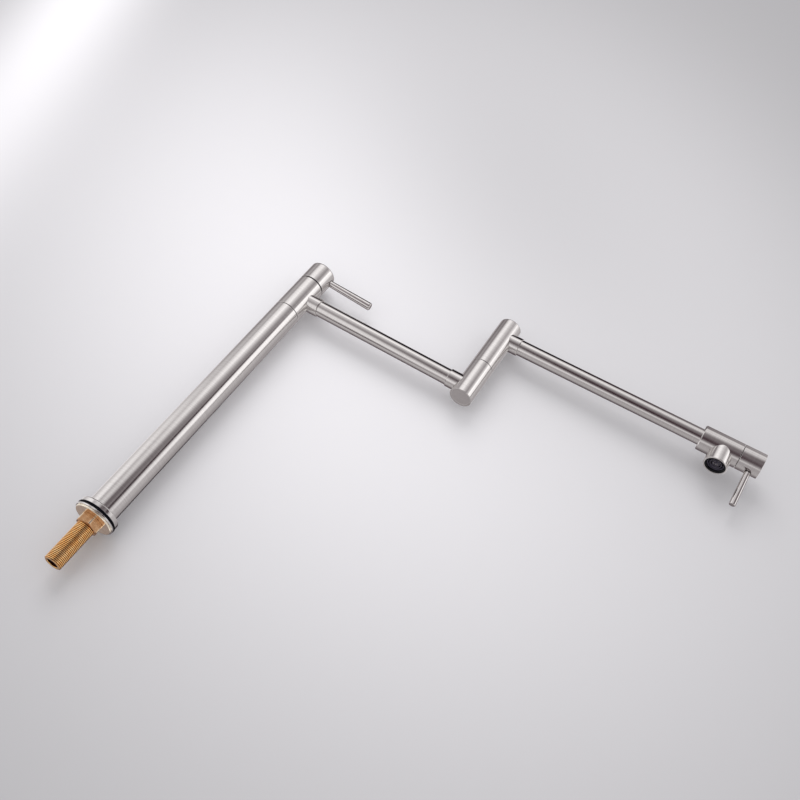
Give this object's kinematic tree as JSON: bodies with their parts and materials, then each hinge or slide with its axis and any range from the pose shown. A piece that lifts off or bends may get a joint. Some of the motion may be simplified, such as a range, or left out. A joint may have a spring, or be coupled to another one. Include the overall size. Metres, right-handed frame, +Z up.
{
  "type": "deck-mounted pot filler tap",
  "caption": "Tall kitchen tap with a jointed arm that swings in two sections, a rod-lever valve on the column and another at the outlet, held through a deck by a threaded shank and nut.",
  "frame": {"origin": "centre of the deck hole, on the top face of the deck, under the gasket", "axes": "+Z up the column, +X along the first arm as pictured, +Y to the left of the arm"},
  "size_m": [0.6136, 0.0493, 0.5644],
  "materials": {
    "satin_steel": "satin, brushed along its length",
    "polished_steel": "polished",
    "brass": "machined",
    "black_rubber": "matt black",
    "dark_plastic": "matt",
    "white_ceramic": "ground and lapped"
  },
  "bodies": {
    "base": {"base_body": "satin_steel", "column_tube": "satin_steel", "mounting_shank": "brass", "deck_gasket": "black_rubber", "backing_washer": "satin_steel", "clamp_washer": "brass", "lock_nut": "brass", "riser_tube": "brass", "valve_body": "brass", "lower_glide_ring": "dark_plastic", "upper_glide_ring": "dark_plastic", "sleeve_oring_lower": "black_rubber", "sleeve_oring_upper": "black_rubber", "sleeve_ring_nut": "brass", "column_cartridge": "brass", "column_seat_seal": "black_rubber", "column_fixed_disc": "white_ceramic"},
    "column_handle": {"top_cap": "satin_steel", "top_lever": "polished_steel", "column_spindle": "brass", "column_moving_disc": "white_ceramic"},
    "first_arm": {"swivel_sleeve": "satin_steel", "arm1_sleeve_collar": "satin_steel", "arm1_tube": "satin_steel", "arm1_knuckle_collar": "satin_steel", "knuckle_lower": "satin_steel", "knuckle_plug": "satin_steel", "elbow_glide_ring": "dark_plastic"},
    "second_arm": {"knuckle_upper": "satin_steel", "elbow_spigot": "brass", "elbow_oring_lower": "black_rubber", "elbow_oring_upper": "black_rubber", "elbow_circlip": "satin_steel", "arm2_collar": "satin_steel", "arm2_tube": "satin_steel", "outlet_body": "satin_steel", "nozzle": "satin_steel", "aerator_housing": "dark_plastic", "aerator_screen": "dark_plastic", "aerator_seal": "black_rubber", "outlet_cartridge": "brass", "outlet_seat_seal": "black_rubber", "outlet_fixed_disc": "white_ceramic"},
    "outlet_handle": {"outlet_cap": "satin_steel", "outlet_lever": "polished_steel", "outlet_spindle": "brass", "outlet_moving_disc": "white_ceramic"}
  },
  "joints": [
    {"name": "column_handle_turn", "type": "hinge", "parent": "base", "child": "column_handle", "pos_m": [0, 0, 0.4218], "axis": [0, 0, -1], "range_deg": [0, 90]},
    {"name": "arm_swing", "type": "hinge", "parent": "base", "child": "first_arm", "pos_m": [0, 0, 0.3828], "axis": [0, 0, -1], "continuous": true},
    {"name": "elbow_swing", "type": "hinge", "parent": "first_arm", "child": "second_arm", "pos_m": [0.2438, 0, 0.4198], "axis": [0, 0, -1], "continuous": true},
    {"name": "outlet_handle_turn", "type": "hinge", "parent": "second_arm", "child": "outlet_handle", "pos_m": [0.57748, -0.00903, 0.4761], "axis": [-0.9996, 0.027, 0], "range_deg": [0, 90]}
  ]
}
